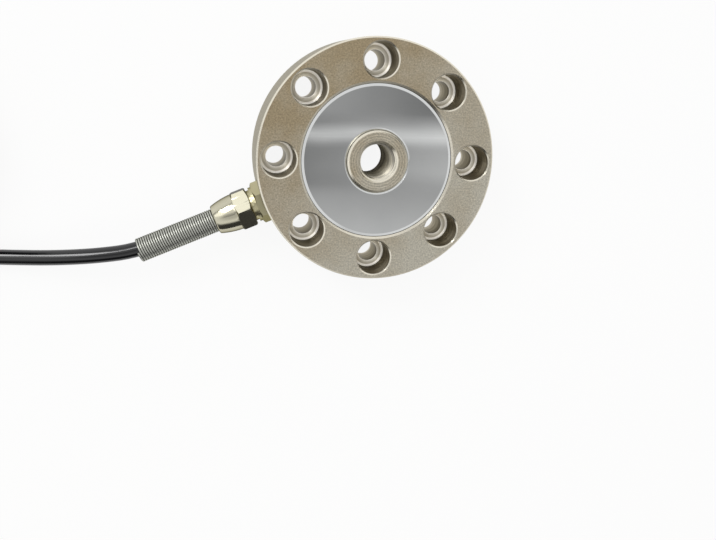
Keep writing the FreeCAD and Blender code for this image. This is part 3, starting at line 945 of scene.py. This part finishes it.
@dataclass
class CableGland:
    """Gland in the side of the ring, with its strain-relief spring."""

    turned: float = math.radians(202.5)
    height: float = 11.0 * MM
    spring_start: float = 48.4 * MM
    spring_wire: float = 0.75 * MM
    spring_radius: float = 3.85 * MM
    spring_turns: int = 43
    spring_steps: int = 40
    wire_sides: int = 12
    groove_share: float = 0.55
    crown_share: float = 0.1
    hex_softness: float = 0.14 * MM

    def build(self) -> None:
        """Models the spring as one closely wound wire."""
        axis = Vector((math.cos(self.turned), math.sin(self.turned), 0))
        centre = Vector((0, 0, self.height))
        across = Vector((0, 0, 1))
        wire = self.spring_wire / 2
        middle = centre + axis * (self.spring_start + wire) + across * (self.spring_radius - wire)
        place = Matrix((axis, across, axis.cross(across))).transposed().to_4x4()
        shape = bmesh.new()
        bmesh.ops.create_circle(shape, segments=self.wire_sides, radius=wire,
                                matrix=Matrix.Translation(middle) @ place)
        wind(shape, centre, axis, self.spring_wire, self.spring_turns - 1, self.spring_steps)
        # Drawn spring wire: a neutral grey metal, with painted shade between its turns that leaves
        # the crown of each turn bright.
        finish = WoundWire("drawn_spring_wire", "#CACBC3", "#B7B8B0", roughness=0.36, smear_mm=3.0,
                           grain_mm=0.25, axis=tuple(axis), centre=tuple(centre),
                           groove_radius=self.spring_radius - self.groove_share * wire,
                           crown_radius=self.spring_radius - self.crown_share * wire)
        spring = add_piece("wound_spring", closed_mesh("wound_spring", shape), finish)
        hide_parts("strain_relief_spring")

    def dress(self) -> None:
        """Gives the gland's pieces their finishes and softens their hexagons."""
        dress_nodes(BRIGHT_NICKEL, "gland_nut", "thrust_washer")
        dress_nodes(SATIN_NICKEL, "gland_adapter")
        dress_nodes(SEAL_RUBBER, "port_seal", "gland_seal")
        for node in ("gland_adapter", "gland_nut"):
            soften_edges(node, self.hex_softness)


@dataclass
class SignalCable:
    """Cable from the gland to its stripped end, with its put-away length in a tied coil."""

    diameter: float = 5.0 * MM
    length: float = 3.01
    exit: Point = (-0.07451, -0.03086, 0.0110)
    route: tuple[Point, ...] = (
        (-0.06208, -0.02572, 0.0110), (-0.07391, -0.03061, 0.0110), (-0.08660, -0.03256, 0.0102),
        (-0.10020, -0.03376, 0.0078), (-0.11400, -0.03426, 0.0046), (-0.12800, -0.03421, 0.0026),
        (-0.14000, -0.03421, 0.0026),
    )
    coil_x: float = -162.0 * MM
    coil_y: float = 3.285 * MM
    outer_turn: float = 37.5 * MM
    floor_height: float = 2.6 * MM
    start_angle: float = math.radians(270)
    columns: int = 4
    turns: float = 15.55
    points_per_turn: int = 16
    jog_share: float = 1 / 6
    jog_bulge: float = 1.3 * MM
    core_radius: float = 0.55 * MM
    core_pitch: float = 1.12 * MM
    core_span: float = math.radians(40)
    core_stagger: float = 0.8 * MM
    core_height: float = 15.65 * MM
    core_bundle: float = 0.6 * MM
    core_bend: float = math.radians(3)
    upper_cores: tuple[int, ...] = (1, 2)
    drain_radius: float = 0.45 * MM
    drain_height: float = 16.48 * MM
    drain_short_by: float = 3.0 * MM

    def build(self) -> None:
        points = [*self.route, *self.coil_points()]
        cable = add_piece("signal_cable", smooth_line("signal_cable", points, self.diameter / 2),
                          CABLE_JACKET)
        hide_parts("cable", "cable_coil")
        ends = [self.stripped_core(place, core) for place, core in enumerate(Core)]
        ends.append(self.shield_drain())
        ends += [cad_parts[node] for node in ("coil_tie", "core_tips")]

    def turn_place(self, turn: int) -> Span:
        """Finds where one whole turn of the coil lies.

        Args:
            turn: Number of the turn, from 0.

        Returns:
            Its radius and height in metres.
        """
        layer, step = divmod(turn, self.columns)
        column = step if layer % 2 == 0 else self.columns - 1 - step
        return self.outer_turn - column * self.diameter, self.floor_height + layer * self.diameter

    def coil_point(self, turn: float) -> Point:
        """Finds one control point of the coil, whose turns step over at the end of each round.

        Args:
            turn: Turns wound from the start of the coil.

        Returns:
            The point in metres.
        """
        whole = max(0, math.floor(turn))
        stepped = max(0.0, (turn - whole - 1 + self.jog_share) / self.jog_share)
        stepped = stepped * stepped * (3 - 2 * stepped)
        radius, height = self.turn_place(whole)
        next_radius, next_height = self.turn_place(whole + 1)
        if next_radius == radius:
            side = 1 if radius == self.outer_turn else -1
            radius += side * self.jog_bulge * math.sin(math.pi * stepped)
        radius += stepped * (next_radius - radius)
        height += stepped * (next_height - height)
        radius /= math.cos(math.pi / self.points_per_turn)
        angle = self.start_angle - FULL_TURN * turn
        return (self.coil_x + radius * math.cos(angle), self.coil_y + radius * math.sin(angle),
                height)

    def coil_points(self) -> list[Point]:
        """Gives the control points of every turn, the first half a step before the coil's start."""
        count = round(self.turns * self.points_per_turn)
        return [self.coil_point((place - 0.5) / self.points_per_turn) for place in range(count + 1)]

    def at_end(self, turned: float, sideways: float, height: float) -> Point:
        """Finds a point round the coil from where the jacket ends.

        Args:
            turned: Angle past the jacket's end in radians.
            sideways: Distance outwards from the middle of the cable in metres.
            height: Height above the floor in metres.

        Returns:
            The point in metres.
        """
        angle = self.start_angle - FULL_TURN * self.turns - turned
        radius = self.outer_turn + sideways
        return (self.coil_x + radius * math.cos(angle), self.coil_y + radius * math.sin(angle),
                height)

    def wire_points(self, out: float, up: float, sideways: float, height: float,
                    short_by: float) -> list[Point]:
        """Gives the control points of a wire that leaves the jacket and settles on the coil.

        Args:
            out: Distance outwards at which it leaves the jacket.
            up: Height at which it leaves the jacket.
            sideways: Distance outwards at which it settles.
            height: Height at which it settles.
            short_by: Length by which it stops before the common end.

        Returns:
            The points in metres.
        """
        side = self.core_span / 4
        corner = (self.outer_turn + sideways) / math.cos(side) - self.outer_turn
        end = Vector(self.at_end(self.core_span, sideways, height))
        before = Vector(self.at_end(3 * side, corner, height))
        end -= (end - before).normalized() * short_by
        return [
            self.at_end(-self.core_bend, out, up),
            self.at_end(self.core_bend, out, up),
            self.at_end(side, corner, height),
            tuple(before),
            tuple(end),
        ]

    def stripped_core(self, place: int, core: Core) -> bpy.types.Object:
        """Makes one stripped core.

        Args:
            place: Its place in the row, counted outwards from 0.
            core: Which core it is.

        Returns:
            The piece that stands for the core's node.
        """
        name = core.node + "_insulation"
        sideways = (place - (len(Core) - 1) / 2) * self.core_pitch
        middle = self.core_height - self.core_radius + self.diameter / 2
        up = middle + (self.core_bundle if place in self.upper_cores else -self.core_bundle)
        out = math.copysign(self.core_bundle, sideways)
        points = self.wire_points(out, up, sideways, self.core_height, place * self.core_stagger)
        piece = add_piece(name, smooth_line(name, points, self.core_radius), core.finish)
        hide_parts(core.node)
        return piece

    def shield_drain(self) -> bpy.types.Object:
        """Makes the bare drain wire of the shield.

        Returns:
            The piece that stands for its node.
        """
        points = self.wire_points(0.0, self.drain_height + self.core_bundle, 0.0,
                                  self.drain_height, self.drain_short_by)
        piece = add_piece("drain_wire", smooth_line("drain_wire", points, self.drain_radius),
                          TINNED_COPPER)
        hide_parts("shield_drain")
        return piece

    def dress(self) -> None:
        """Gives the held stretch, tie and core tips their finishes."""
        dress_nodes(CABLE_JACKET, "cable_entry")
        dress_nodes(TIE_NYLON, "coil_tie")
        dress_nodes(TINNED_COPPER, "core_tips")


class Softbox(NamedTuple):
    """Lamp that faces the cell: its name, its place and size in metres, and its power in watts."""

    name: str
    place: Point
    size: Span
    power: float


@dataclass
class Studio:
    """Camera, floor, softboxes and surroundings.

    A span of the surroundings says where a soft mask is 0 and where it is 1. It goes by a part of
    the direction that is looked in, which has a length of 1.
    """

    camera_at: Point = (-0.05356, 0.02600, 0.26853)
    camera_right: Point = (0.98216, 0.03672, 0.18444)
    camera_up: Point = (0.00854, 0.97103, -0.23879)
    camera_back: Point = (-0.18786, 0.23610, 0.95340)
    camera_clip: Span = (0.01, 20.0)
    lens: float = 40.19
    sensor: float = 36.0
    floor_half: float = 3.0
    softboxes: tuple[Softbox, ...] = (
        Softbox("key_softbox", (-0.589, 0.549, 0.657), (0.26, 0.48), 2.7),
        Softbox("low_softbox", (-0.38, 0.74, 0.57), (0.35, 0.3), 0.16),
        Softbox("side_softbox", (-0.65, 0.38, 0.72), (0.5, 0.45), 0.42),
    )

    # Tent: pale, dark low down in front, with a grey belt away from the key softbox and a narrow
    # grey strip all round.
    tent_level: float = 0.95
    front_level: float = 0.05
    front_fall: Span = (0.74, 0.56)
    front_side: Span = (-0.55, -0.85)
    belt_level: float = 0.45
    belt_rise: Span = (0.22, 0.4)
    belt_fall: Span = (0.74, 0.56)
    belt_side: Span = (0.35, 0.0)
    key_side: Point = (-0.7, 0.7, 0.0)
    strip_rise: Span = (0.25, 0.35)
    strip_fall: Span = (0.5, 0.42)

    # Ceiling: dim, in soft bands of a place along it, a brightness and a twist. A twist above or
    # below the even one makes a band brighter on one side and dimmer on the other.
    ceiling_rise: Span = (0.80, 0.93)
    ceiling_side: Span = (0.18, 0.06)
    ceiling_x: float = 0.21
    ceiling_ends: Span = (-0.22, 0.06)
    ceiling_reach: float = 0.1
    ceiling_swing: float = 0.42
    ceiling_bands: tuple[Point, ...] = (
        (-0.20, 0.65, 0.5), (-0.15, 0.46, 0.5), (-0.135, 0.38, 0.25), (-0.115, 0.45, 0.1),
        (-0.085, 0.38, 0.2), (-0.073, 0.90, 0.3), (-0.06, 0.42, 0.0), (-0.045, 0.34, 0.8),
        (0.06, 0.36, 1.0),
    )
    even_twist: float = 0.5
    bend: float = 0.007
    bend_scale: float = 7.0
    least_height: float = 0.1

    def build(self) -> None:
        """Sets up the camera, floor, softboxes and surroundings."""
        self.add_camera()
        self.add_floor()
        for softbox in self.softboxes:
            self.add_lamp(softbox)
        self.add_surroundings()
        bpy.context.scene.view_settings.view_transform = "Standard"

    def add_camera(self) -> None:
        """Makes the camera at the photograph's viewing angle."""
        camera = bpy.data.cameras.new("photo_camera")
        camera.lens = self.lens
        camera.sensor_width = self.sensor
        camera.clip_start, camera.clip_end = self.camera_clip
        placed = bpy.data.objects.new("photo_camera", camera)
        turn = Matrix((self.camera_right, self.camera_up, self.camera_back)).transposed()
        placed.matrix_world = Matrix.Translation(self.camera_at) @ turn.to_4x4()
        bpy.context.scene.collection.objects.link(placed)
        bpy.context.scene.camera = placed

    def add_floor(self) -> None:
        """Makes the floor that the cell lies on."""
        shape = bmesh.new()
        bmesh.ops.create_grid(shape, x_segments=1, y_segments=1, size=self.floor_half)
        mesh = bpy.data.meshes.new("studio_floor")
        shape.to_mesh(mesh)
        shape.free()
        floor = bpy.data.objects.new("studio_floor", mesh)
        bpy.context.scene.collection.objects.link(floor)
        dress(floor, StudioFloor())

    def add_lamp(self, softbox: Softbox) -> None:
        """Adds one softbox.

        Args:
            softbox: Its name, place, size and power.
        """
        lamp = bpy.data.lights.new(softbox.name, "AREA")
        lamp.shape = "RECTANGLE"
        lamp.size, lamp.size_y = softbox.size
        lamp.energy = softbox.power
        placed = bpy.data.objects.new(softbox.name, lamp)
        placed.location = softbox.place
        placed.rotation_euler = Vector(softbox.place).to_track_quat("Z", "Y").to_euler()
        bpy.context.scene.collection.objects.link(placed)

    def add_surroundings(self) -> None:
        """Makes the surroundings: white to the camera, and a tent with a ceiling to the rest."""
        world = bpy.data.worlds.new("studio_surroundings")
        bpy.context.scene.world = world
        world.use_nodes = True
        tree = world.node_tree
        tree.nodes.clear()
        ray = add_node(tree, "ShaderNodeTexCoord")["Generated"]
        lit = add_node(tree, "ShaderNodeBackground", {"Color": self.tent(tree, ray)})[0]
        white = add_node(tree, "ShaderNodeBackground", {"Color": (1, 1, 1, 1)})[0]
        seen = add_node(tree, "ShaderNodeLightPath")["Is Camera Ray"]
        both = add_node(tree, "ShaderNodeMixShader", (seen, lit, white))[0]
        add_node(tree, "ShaderNodeOutputWorld", {"Surface": both})

    def tent(self, tree: Tree, ray: Socket) -> Socket:
        """Lays out the brightness of the tent and of the ceiling above it.

        Args:
            tree: Node tree of the surroundings.
            ray: Direction that is looked in.

        Returns:
            The brightness in that direction.
        """
        _, y, z = add_node(tree, "ShaderNodeSeparateXYZ", (ray,))
        facing = add_node(tree, "ShaderNodeVectorMath", (ray, self.key_side),
                          operation="DOT_PRODUCT")["Value"]
        belt = soft_mask(tree, (z, self.belt_rise), (z, self.belt_fall), (facing, self.belt_side))
        strip = soft_mask(tree, (z, self.strip_rise), (z, self.strip_fall))
        belt = add_node(tree, "ShaderNodeMath", (belt, strip), operation="MAXIMUM")[0]
        wall = add_node(tree, "ShaderNodeMapRange", {
            0: belt, 3: self.tent_level, 4: self.belt_level,
        })[0]
        front = soft_mask(tree, (z, self.front_fall), (y, self.front_side))
        wall = add_node(tree, "ShaderNodeMapRange", {0: front, 3: wall, 4: self.front_level})[0]
        above = soft_mask(tree, (z, self.ceiling_rise), (y, self.ceiling_side))
        return add_node(tree, "ShaderNodeMix", {
            0: above, 2: wall, 3: self.ceiling(tree, ray),
        })[0]

    def ceiling(self, tree: Tree, ray: Socket) -> Socket:
        """Lays out the dim ceiling, whose soft bands change from left to right.

        Args:
            tree: Node tree of the surroundings.
            ray: Direction that is looked in.

        Returns:
            The brightness of the ceiling in that direction.
        """
        x, y, z = add_node(tree, "ShaderNodeSeparateXYZ", (ray,))
        high = add_node(tree, "ShaderNodeMath", (z, self.least_height), operation="MAXIMUM")[0]
        across = add_node(tree, "ShaderNodeMath", (x, high), operation="DIVIDE")[0]
        along = add_node(tree, "ShaderNodeMath", (y, high), operation="DIVIDE")[0]
        bend = add_node(tree, "ShaderNodeTexNoise", {
            "Vector": ray, "Scale": self.bend_scale, "Detail": 1.0,
        })[0]
        bend = add_node(tree, "ShaderNodeMapRange", {0: bend, 3: -self.bend, 4: self.bend})[0]
        along = add_node(tree, "ShaderNodeMath", (along, bend), operation="ADD")[0]
        share = add_node(tree, "ShaderNodeMapRange", (along, *self.ceiling_ends))[0]
        near, far = self.ceiling_ends
        stops = [((place - near) / (far - near), (level, twist, 0.0, 1.0))
                 for place, level, twist in self.ceiling_bands]
        bands = add_node(tree, "ShaderNodeValToRGB", (share,), stops)[0]
        level, twist, _ = add_node(tree, "ShaderNodeSeparateColor", (bands,))
        twist = add_node(tree, "ShaderNodeMath", (twist, self.even_twist), operation="SUBTRACT")[0]
        side = add_node(tree, "ShaderNodeMapRange", (
            across, self.ceiling_x - self.ceiling_reach, self.ceiling_x + self.ceiling_reach,
            self.ceiling_swing, -self.ceiling_swing,
        ))[0]
        return add_node(tree, "ShaderNodeMath", (twist, side, level),
                        operation="MULTIPLY_ADD", use_clamp=True)[0]


def write_sizes() -> None:
    """Updates the view layer."""
    bpy.context.view_layer.update()


def main() -> None:
    """Builds and dresses the sub-assemblies in order."""
    logging.basicConfig(level=logging.INFO, format="%(name)s: %(message)s")
    Studio().build()
    for assembly in (SignalCable(), SensingCell(), CableGland()):
        LOG.info("building %s", type(assembly).__name__)
        assembly.build()
        assembly.dress()
    write_sizes()


if __name__ == "__main__":
    main()
